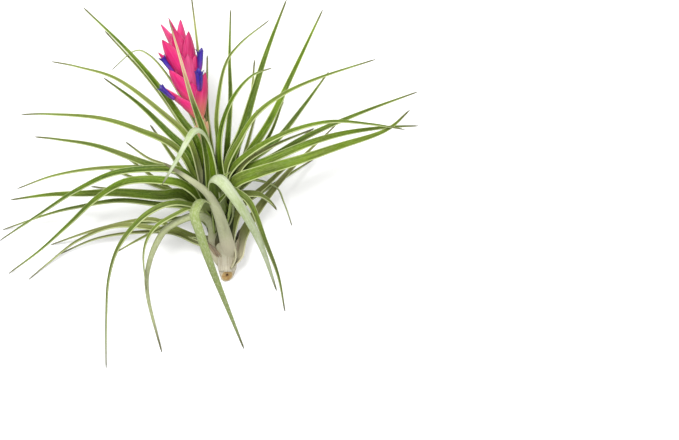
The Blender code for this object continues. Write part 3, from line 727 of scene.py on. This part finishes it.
def base_sheath_skin(number, bearing, start, end, half_angle, gain, dryness):
    """An old sheath that wraps the base: a strip of the tube's own curve, whose half angle falls by
    a power of the length that is left. It starts flush with the stem and lies further out from a
    third of its length on, with a wavy edge and a loose upper end."""
    fractions = np.linspace(0, 1, OLD_STEPS)
    distances = start + (end - start) * fractions
    centres, along = growth_point(distances)
    out = round_the_line(distances, bearing)
    lift = 1 + (gain - 1) * np.clip(LIFT_RATE * fractions, 0, 1)
    radius = base_radius(distances) * lift + LOOSE_END * fractions**2
    half = np.radians(half_angle) * np.clip(1 - fractions, OLD_POINT, 1) ** OLD_TAPER
    half *= 1 + EDGE_WAVE * np.sin(EDGE_WAVES * fractions + number)
    middle = centres + radius[:, None] * out
    side = unit(np.cross(along, out))
    wide = 2 * half * radius
    thick = np.full(OLD_STEPS, OLD_THICK)
    rings, marks = blade_rings(middle, side, -out, wide, thick, 2 * half)
    values = {
        "body": point_values(rings, fractions, marks[0], dryness),
        "grain": grain_of(rings, marks, wide, fractions * (end - start), number),
    }
    return rings, values


def make_base_sheaths(finish):
    """The old sheaths round the base, as one piece."""
    skins = [base_sheath_skin(number, *spec) for number, spec in enumerate(BASE_SHEATHS)]
    add_piece("base_sheaths", skins, finish, ["leaf_rosette"])


def make_stem(finish):
    """The cut stem: a tube with fibres by two sines of the bearing, whose near rings lean with the
    cut. The cut face is rings that shrink to the middle. It bulges by a sine of their size, and
    sinks into a pit by a bell curve of it."""
    distances = np.linspace(STEM_START, STEM_END, STEM_RINGS)
    share = np.linspace(0, 1, STEM_RINGS)
    radii = STEM_RADIUS * np.interp(share, STEM_TAPER_AT, STEM_TAPER)
    turn = full_turn(TUBE_ROUND)
    fibres = 1 + sum(high * np.sin(count * turn + shift) for high, count, shift in BARK_FIBRES)
    rings = tube_rings(distances, radii[:, None] * fibres, turn)
    centres, along = growth_point(distances)
    lean = unit(CUT_LEAN)
    slide = ((rings - centres[:, None]) @ lean) / (along[0] @ lean)
    rings = rings - ((1 - share)[:, None] * slide)[..., None] * along[:, None]
    inner = CUT_RINGS[:, None, None]
    pit = PIT_DEPTH * np.exp(-((inner / PIT_WIDTH) ** 2)) - CUT_BULGE * np.sin(math.pi * inner)
    face = centres[0] + inner * (rings[0] - centres[0]) - pit * lean
    rings = np.concatenate([face, rings])
    cut = np.concatenate([CUT_RINGS, 1 + share])
    values = {
        "body": point_values(rings, cut, 0, 0),
        "grain": point_values(rings, THICK_GRAIN * turn[None], CUT_GRAIN * cut, 0),
    }
    add_piece("cut_stem", [(rings, values)], finish, ["stem"])


def bract_skin(number, bearing, start, tip, stand_off, width, from_radius):
    """A boat-shaped bract. It leaves the line at from_radius, bulges out and points forward. Its
    width is a sine of the length to a power, widest below the middle. One at the side turns its
    back part of the way to the top of the head."""
    halfway = (start + tip) / 2
    out = round_the_line(halfway, bearing)[0]
    back = unit(out + BRACT_TURN * round_the_line(halfway, 90)[0])
    off = np.array([from_radius, *np.maximum(stand_off * BRACT_SPREAD, from_radius)])
    spots = growth_point(start + (tip - start) * BRACT_REACH)[0] + off[:, None] * out
    fractions = np.linspace(0, 1, BRACT_STEPS)
    middle = smooth_route(spots, fractions)
    tangent = unit(np.gradient(middle, axis=0))
    side = unit(np.cross(tangent, -back))
    face = np.cross(side, tangent)
    wave = np.sin(math.pi * (BRACT_FOOT + (1 - BRACT_FOOT) * fractions)) ** BRACT_FULL
    wide = BRACT_TIP + (width * BRACT_WIDEN - BRACT_TIP) * wave
    thick = np.linspace(*BRACT_THICK, BRACT_STEPS)
    arc = BRACT_ARC * (1 - BRACT_OPENS * fractions)
    rings, marks = blade_rings(middle, side, face, wide, thick, arc)
    level = (start - LOWEST_TONE) / TONE_LENGTH
    values = {
        "blade": point_values(rings, fractions, *marks),
        "bract": point_values(rings, level, TONE_STEP * number % 1.0, 0),
        "grain": grain_of(rings, marks, wide, fractions * (tip - start), number),
    }
    return rings, values


def axis_skin(places):
    """The stalk, or the axis inside the bracts: a tube along the growth line."""
    distances = np.linspace(places[0][0], places[-1][0], AXIS_RINGS)
    turn = full_turn(AXIS_ROUND)
    rings = tube_rings(distances, profile(places, distances), turn)
    share = np.linspace(0, 0.5, AXIS_RINGS)
    values = {
        "blade": point_values(rings, share, 0, -1),
        "bract": point_values(rings, share, 0.5, 0),
        "grain": point_values(rings, SLIM_GRAIN * turn[None], AXIS_GRAIN * share, 0),
    }
    return rings, values


def make_head(finish):
    """The flower head: its axis and its bracts."""
    skins = [axis_skin([(place, SPINDLE_SCALE * radius) for place, radius in SPINDLE])]
    skins += [bract_skin(number, *spec, HEAD_AXIS) for number, spec in enumerate(BRACTS)]
    add_piece("bracts", skins, finish, ["bract_head"])


def make_scape(finish):
    """The flower stalk with its two small bracts."""
    skins = [axis_skin(STALK)]
    skins += [bract_skin(number, *spec, STALK_AXIS) for number, spec in enumerate(STALK_BRACTS)]
    add_piece("stalk", skins, finish, ["scape"])


def petal_skin(centres, side, other, turn, radius, number):
    """One petal of a rolled flower. It follows the tube at its own bearing, and flares out by the
    square of the length and narrows to a point over the last third."""
    fractions = np.linspace(0, 1, len(centres))
    out = math.cos(turn) * side + math.sin(turn) * other
    flare = FLARE * np.clip((fractions - FLARE_START) / (1 - FLARE_START), 0, 1) ** 2
    off = radius * profile(PETAL_STANDS, fractions) + flare
    middle = centres + off[:, None] * out
    way = unit(np.gradient(middle, axis=0))
    flat = unit(np.cross(way, -out))
    face = np.cross(flat, way)
    wide = radius * profile(PETAL_WIDTHS, fractions)
    thick = np.full(len(fractions), PETAL_THICK)
    rings, marks = blade_rings(middle, flat, face, wide, thick, profile(PETAL_ARCS, fractions))
    values = {
        "blade": point_values(rings, fractions, *marks),
        "grain": grain_of(rings, marks, wide, fractions * PETAL_LENGTH, number),
    }
    return rings, values


def make_flowers(finish):
    """Each flower is one piece: petals round a line that leans away from the head."""
    for index, (bearing, start, tip, low, high, radius) in enumerate(FLOWERS, start=1):
        out = round_the_line((start + tip) / 2, bearing)[0]
        share = np.linspace(0, 1, FLOWER_STEPS)
        off = low + (high - low) * share**FLOWER_LEAN
        centres = growth_point(start + (tip - start) * share)[0] + off[:, None] * out
        tangent = unit(np.gradient(centres, axis=0))
        side = unit(np.cross(tangent, out))
        other = np.cross(tangent, side)
        skins = []
        for petal in range(PETALS):
            turn = 2 * math.pi * petal / PETALS + index
            number = PETALS * index + petal
            skins.append(petal_skin(centres, side, other, turn, radius, number))
        add_piece(f"petals_{index}", skins, finish, [f"flower_{index}"])


def rgb(red, green, blue):
    """A colour as a screen shows it under the studio's light, as the linear one that a shader
    takes. The light is brighter than paper white needs, so the colour is divided by it."""
    share = np.array([red, green, blue]) / 255
    linear = np.where(share <= 0.04045, share / 12.92, ((share + 0.055) / 1.055) ** 2.4)
    return (*(linear / STUDIO_LIGHT).tolist(), 1.0)


class Tree:
    """A short way to write shader nodes: each call adds a node, sets or links its inputs, and
    gives back its first output, or the one that is named."""

    def __init__(self, tree):
        self.tree = tree

    def give(self, node, inputs):
        """Sets the inputs of a node, or links them where the value is another node's output."""
        for key, value in inputs.items():
            if isinstance(value, bpy.types.NodeSocket):
                self.tree.links.new(value, node.inputs[key])
            else:
                node.inputs[key].default_value = value

    def add(self, kind, inputs, out=0, **settings):
        made = self.tree.nodes.new(kind)
        for key, value in settings.items():
            setattr(made, key, value)
        self.give(made, inputs)
        return made.outputs[out]

    def math(self, operation, a, b=0.0, clamp=False):
        return self.add("ShaderNodeMath", {0: a, 1: b}, operation=operation, use_clamp=clamp)

    def times(self, a, b):
        return self.math("MULTIPLY", a, b)

    def ramp(self, value, low, high, at_low=0.0, at_high=1.0):
        """A smooth step from at_low to at_high as the value goes from low to high."""
        ends = {"From Min": low, "From Max": high, "To Min": at_low, "To Max": at_high}
        return self.add("ShaderNodeMapRange", {"Value": value, **ends}, interpolation_type="SMOOTHSTEP")

    def mix(self, factor, a, b):
        """The first colour where the factor is 0, and the second where it is 1."""
        a, b = (rgb(*colour) if isinstance(colour, tuple) else colour for colour in (a, b))
        return self.add("ShaderNodeMix", {0: factor, 6: a, 7: b}, out=2, data_type="RGBA")

    def over(self, base, colour, mask, strength):
        """The base with a colour laid over it, as strongly as the mask times the strength."""
        return self.mix(self.times(mask, strength), base, colour)

    def edge(self, across, start, end, strength=1.0):
        """A mask that rises to the strength towards both edges of a blade."""
        return self.ramp(self.math("ABSOLUTE", across), start, end, 0.0, strength)

    def attribute(self, name):
        return self.add("ShaderNodeAttribute", {}, out="Vector", attribute_name=name)

    def parts(self, name):
        """The three numbers of a mesh attribute."""
        return self.add("ShaderNodeSeparateXYZ", {0: self.attribute(name)}).node.outputs

    def grain_noise(self, across, along, scale, detail, rough=0.55):
        """Noise over the grain, which is scaled across and along it."""
        inputs = {0: self.attribute("grain"), 1: (across, along, 1.0)}
        vector = self.add("ShaderNodeVectorMath", inputs, operation="MULTIPLY")
        inputs = {"Vector": vector, "Scale": scale, "Detail": detail, "Roughness": rough}
        return self.add("ShaderNodeTexNoise", inputs, out="Fac")

    def fibres(self, group, line_scale, scurf_scale):
        """The masks of the fibre group: lines, scurf and patches."""
        scales = {"Line Scale": line_scale, "Scurf Scale": scurf_scale}
        return self.add("ShaderNodeGroup", scales, node_tree=group).node.outputs


def fibre_group():
    """Noise that is stretched along a leaf, bract or petal. Lines is a mask of its fine lines,
    Scurf of a speckle, as of scales that catch the light, and Patches of shade and age."""
    group = bpy.data.node_groups.new("fibres", "ShaderNodeTree")
    for name in ("Line Scale", "Scurf Scale"):
        group.interface.new_socket(name, in_out="INPUT", socket_type="NodeSocketFloat")
    for name in ("Lines", "Scurf", "Patches"):
        group.interface.new_socket(name, in_out="OUTPUT", socket_type="NodeSocketFloat")
    tree = Tree(group)
    given = group.nodes.new("NodeGroupInput").outputs
    lines = tree.grain_noise(1.0, 0.045, given["Line Scale"], 2.0)
    scurf = tree.grain_noise(1.0, 0.35, given["Scurf Scale"], 3.0, 0.7)
    patches = tree.grain_noise(0.35, 0.12, 0.6, 2.0)
    masks = {
        "Lines": tree.ramp(lines, 0.35, 0.68),
        "Scurf": tree.ramp(scurf, 0.4, 0.74),
        "Patches": tree.ramp(patches, 0.35, 0.68),
    }
    tree.give(group.nodes.new("NodeGroupOutput"), masks)
    return group


class Finish(Tree):
    """The tree of a new material, with its shader."""

    def __init__(self, name):
        self.material = bpy.data.materials.new(name)
        self.material.use_nodes = True
        super().__init__(self.material.node_tree)
        self.shader = self.tree.nodes["Principled BSDF"]

    def shade(self, colour, roughness, height, bump):
        """Gives the shader its colour, its roughness, and a relief that follows the height."""
        inputs = {"Height": height, "Strength": bump, "Distance": RELIEF}
        normal = self.add("ShaderNodeBump", inputs, out="Normal")
        self.give(self.shader, {"Base Color": colour, "Roughness": roughness, "Normal": normal})
        return self.material


def leaf_material(fibres):
    """Green leaves: deep green in the channel, paler with scurf outside, a painted highlight along the
    edges, cream at the foot, grey-brown at the tip, and drier where the leaf is old."""
    tree = Finish("leaf_scurf")
    along, across, skin = tree.parts("blade")
    tone, age, blush = tree.parts("leaf")
    lines, scurf, patches = tree.fibres(fibres, 1.5, 1.7)
    inside = tree.ramp(skin, -0.35, 0.35)
    channel = tree.mix(tone, *CHANNEL)
    channel = tree.over(channel, CHANNEL_SHADE, patches, 0.6)
    outer = tree.mix(tone, *OUTER)
    pale = tree.over(*PALE_OUTER, patches, 0.55)
    outer = tree.mix(tree.ramp(tone, 1.0, 1.1), outer, pale)
    outer = tree.over(outer, WHITE_SCURF, scurf, 0.42)
    colour = tree.mix(inside, outer, channel)
    colour = tree.over(colour, LEAF_LINES, lines, 0.28)
    colour = tree.over(colour, CHANNEL_SCURF, scurf, 0.15)
    dry = tree.math("MULTIPLY", age, tree.ramp(patches, 0.0, 1.0, 0.75, 1.05), clamp=True)
    dry_colour = tree.mix(inside, tree.mix(patches, *DRY_OUTER), DRY_CHANNEL)
    colour = tree.over(colour, dry_colour, dry, 0.95)
    stripes = tree.mix(lines, *BLUSH)
    colour = tree.over(colour, stripes, blush, tree.ramp(along, 0.5, 0.8))
    # Painted highlight: a light band along both edges of each leaf
    colour = tree.over(colour, LEAF_EDGE_HIGHLIGHT, tree.edge(across, 0.9, 0.985), 0.62)
    reach = tree.math("SUBTRACT", along, tree.ramp(age, 0.6, 0.9, 0.0, 0.14))
    base_colour = tree.mix(tree.ramp(age, 0.1, 0.5), *LEAF_BASE)
    colour = tree.over(colour, base_colour, tree.ramp(reach, 0.05, 0.22, 1.0, 0.0), 0.7)
    tip = tree.ramp(tree.math("ADD", along, tree.times(age, 0.05)), 0.88, 1.0)
    colour = tree.over(colour, DRY_TIP, tip, 0.8)
    height = tree.math("ADD", tree.times(lines, 0.7), tree.times(scurf, 0.5))
    tree.give(tree.shader, {"Specular IOR Level": 0.1})
    return tree.shade(colour, tree.ramp(skin, -0.3, 0.3, 0.72, 0.45), height, 0.5)


def sheath_material(fibres):
    """Leaf bases: cream and beige low on the stem and dark olive-black higher up, which is painted shade
    for the gaps between the leaves, with dry streaks.
    """
    tree = Finish("leaf_bases")
    up = tree.parts("body")[0]
    lines, scurf, patches = tree.fibres(fibres, 1.4, 4.0)
    colour = tree.mix(patches, *BUNDLE)
    # Painted shade: the bundle turns dark higher up, as the shade that shows between the leaves
    colour = tree.mix(tree.ramp(up, 0.08, 0.4), colour, BUNDLE_PAINTED_SHADE)
    colour = tree.over(colour, BUNDLE_LINES, lines, 0.4)
    return tree.shade(colour, 0.75, tree.math("ADD", lines, tree.times(scurf, 0.4)), 0.7)


def base_sheath_material(fibres):
    """Old sheaths: smooth cream skin with beige streaks, greener at the upper end, or dry and
    brown, with a darker rim."""
    tree = Finish("old_sheaths")
    share, across, dry = tree.parts("body")
    lines, scurf, patches = tree.fibres(fibres, 1.6, 3.0)
    fresh = tree.mix(tree.ramp(share, 0.2, 0.9), *OLD_CREAM)
    fresh = tree.over(fresh, OLD_STREAK, lines, 0.5)
    fresh = tree.over(fresh, OLD_SCURF, scurf, 0.4)
    brown = tree.mix(lines, *DRY_BROWN)
    brown = tree.over(brown, DRY_TAN, patches, 0.5)
    colour = tree.mix(dry, fresh, brown)
    colour = tree.over(colour, OLD_RIM, tree.edge(across, 0.9, 1.0), 0.5)
    return tree.shade(colour, 0.65, tree.math("ADD", lines, tree.times(scurf, 0.4)), 0.6)


def stem_material(fibres):
    """The stem: cream bark with tan fibres, and a tan cut face with a light rim and a dark pit."""
    tree = Finish("stem_bark")
    cut = tree.parts("body")[0]
    lines, scurf, patches = tree.fibres(fibres, 1.2, 3.0)
    bark = tree.over(*BARK, lines, 0.45)
    bark = tree.over(bark, BARK_SHADE, patches, 0.3)
    wood = tree.mix(patches, *WOOD)
    wood = tree.over(wood, WOOD_LINES, lines, 0.4)
    wood = tree.mix(tree.ramp(cut, 0.1, 0.3, 0.8, 0.0), wood, WOOD_PIT)
    wood = tree.mix(tree.ramp(cut, 0.7, 0.9), wood, WOOD_RIM)
    colour = tree.mix(tree.ramp(cut, 0.95, 1.04), wood, bark)
    return tree.shade(colour, 0.8, tree.math("ADD", lines, tree.times(scurf, 0.5)), 0.8)


def bract_material(fibres):
    """Hot pink bracts: coral at the foot low on the head, painted shade on the lower part where others
    cover it, paler along the edges, and dark at the very point."""
    tree = Finish("bract_pink")
    along, across, _ = tree.parts("blade")
    level, tone, _ = tree.parts("bract")
    lines, _, patches = tree.fibres(fibres, 1.6, 2.4)
    colour = tree.mix(tree.ramp(tone, 0.0, 0.8), *PINK)
    colour = tree.mix(tree.ramp(tone, 0.82, 0.98, 0.0, 0.7), colour, LIGHT_PINK)
    colour = tree.over(colour, PINK_SHADE, patches, 0.5)
    colour = tree.over(colour, PINK_LINES, lines, 0.3)
    # Painted shade: the lower part of each bract higher up the head darkens where the bracts above cover it
    overlap_shade = tree.times(tree.ramp(along, 0.1, 0.5, 1.0, 0.0), tree.ramp(level, 0.1, 0.5))
    colour = tree.over(colour, OVERLAP_SHADE_PINK, overlap_shade, 0.7)
    foot = tree.times(tree.ramp(along, 0.0, 0.6, 1.0, 0.0), tree.ramp(level, 0.0, 0.3, 1.0, 0.0))
    colour = tree.over(colour, CORAL, foot, 0.85)
    colour = tree.mix(tree.edge(across, 0.88, 1.0, 0.55), colour, PINK_EDGE)
    colour = tree.mix(tree.ramp(along, 0.93, 1.0, 0.0, 0.6), colour, PINK_POINT)
    tree.give(tree.shader, {"Subsurface Weight": 0.12, "Subsurface Scale": 0.002})
    return tree.shade(colour, 0.42, lines, 0.35)


def stalk_material(fibres):
    """The stalk: salmon to orange-green, with fine lines."""
    tree = Finish("stalk_salmon")
    along = tree.parts("blade")[0]
    lines, _, patches = tree.fibres(fibres, 2.0, 4.0)
    colour = tree.mix(tree.ramp(along, 0.0, 0.7), *SALMON)
    colour = tree.over(colour, STALK_RED, patches, 0.4)
    colour = tree.over(colour, STALK_LINES, lines, 0.6)
    return tree.shade(colour, 0.5, lines, 0.4)


def petal_material(fibres):
    """Blue-violet petals, redder at the foot, with bluer lines and dark edges."""
    tree = Finish("petal_violet")
    along, across, _ = tree.parts("blade")
    lines = tree.fibres(fibres, 2.8, 5.0)[0]
    colour = tree.mix(tree.ramp(along, 0.0, 0.6), *VIOLET)
    colour = tree.over(colour, PETAL_LINES, lines, 0.4)
    colour = tree.mix(tree.edge(across, 0.6, 1.0, 0.7), colour, PETAL_EDGE)
    tree.give(tree.shader, {"Subsurface Weight": 0.1, "Subsurface Scale": 0.001})
    return tree.shade(colour, 0.45, lines, 0.35)


def make_floor():
    """The pale surface, a large square just below the plant."""
    tree = Finish("pale_surface")
    glow = {"Emission Color": WHITE, "Emission Strength": FLOOR_GLOW}
    tree.give(tree.shader, {"Base Color": rgb(*PAPER), "Roughness": 0.9, **glow})
    corners = [(x * FLOOR_HALF, y * FLOOR_HALF, 0) for x, y in ((-1, -1), (1, -1), (1, 1), (-1, 1))]
    mesh = bpy.data.meshes.new("floor")
    mesh.from_pydata(corners, [], [(0, 1, 2, 3)])
    mesh.materials.append(tree.material)
    floor = bpy.data.objects.new("floor", mesh)
    floor.location.z = -FLOOR_DROP
    bpy.context.scene.collection.objects.link(floor)


def add_light(name, place, size, power):
    """A square soft light that faces the plant."""
    lamp = bpy.data.lights.new(name, "AREA")
    lamp.size = size
    lamp.energy = power
    holder = bpy.data.objects.new(name, lamp)
    holder.location = place
    aim = np.subtract(PLANT_MIDDLE, place)
    yaw = math.atan2(aim[0], -aim[1])
    pitch = math.atan2(math.hypot(aim[0], aim[1]), -aim[2])
    holder.rotation_euler = (pitch, 0, yaw + math.pi)
    bpy.context.scene.collection.objects.link(holder)


def make_studio():
    """A bright room all round, and the soft lights."""
    scene = bpy.context.scene
    scene.view_settings.view_transform = "Standard"
    world = bpy.data.worlds.new("soft_room")
    world.use_nodes = True
    background = world.node_tree.nodes["Background"]
    background.inputs["Color"].default_value = WHITE
    background.inputs["Strength"].default_value = ROOM_LIGHT
    scene.world = world
    for name, (place, size, power) in LIGHTS.items():
        add_light(name, place, size, power)


def make_camera():
    """The camera, whose lens shows the picture's width at the surface."""
    camera = bpy.data.cameras.new("above")
    camera.sensor_width = SENSOR
    camera.lens = SENSOR * CAMERA_HEIGHT / PICTURE_WIDTH
    camera.clip_end = CAMERA_REACH
    holder = bpy.data.objects.new("above", camera)
    holder.location = (PICTURE_MIDDLE[0] * MM, PICTURE_MIDDLE[1] * MM, CAMERA_HEIGHT * MM)
    bpy.context.scene.collection.objects.link(holder)
    bpy.context.scene.camera = holder


def main():
    make_camera()
    fibres = fibre_group()
    make_leaves(leaf_material(fibres))
    make_sheath_bundle(sheath_material(fibres))
    make_base_sheaths(base_sheath_material(fibres))
    make_stem(stem_material(fibres))
    make_scape(stalk_material(fibres))
    make_head(bract_material(fibres))
    make_flowers(petal_material(fibres))
    make_floor()
    make_studio()


main()
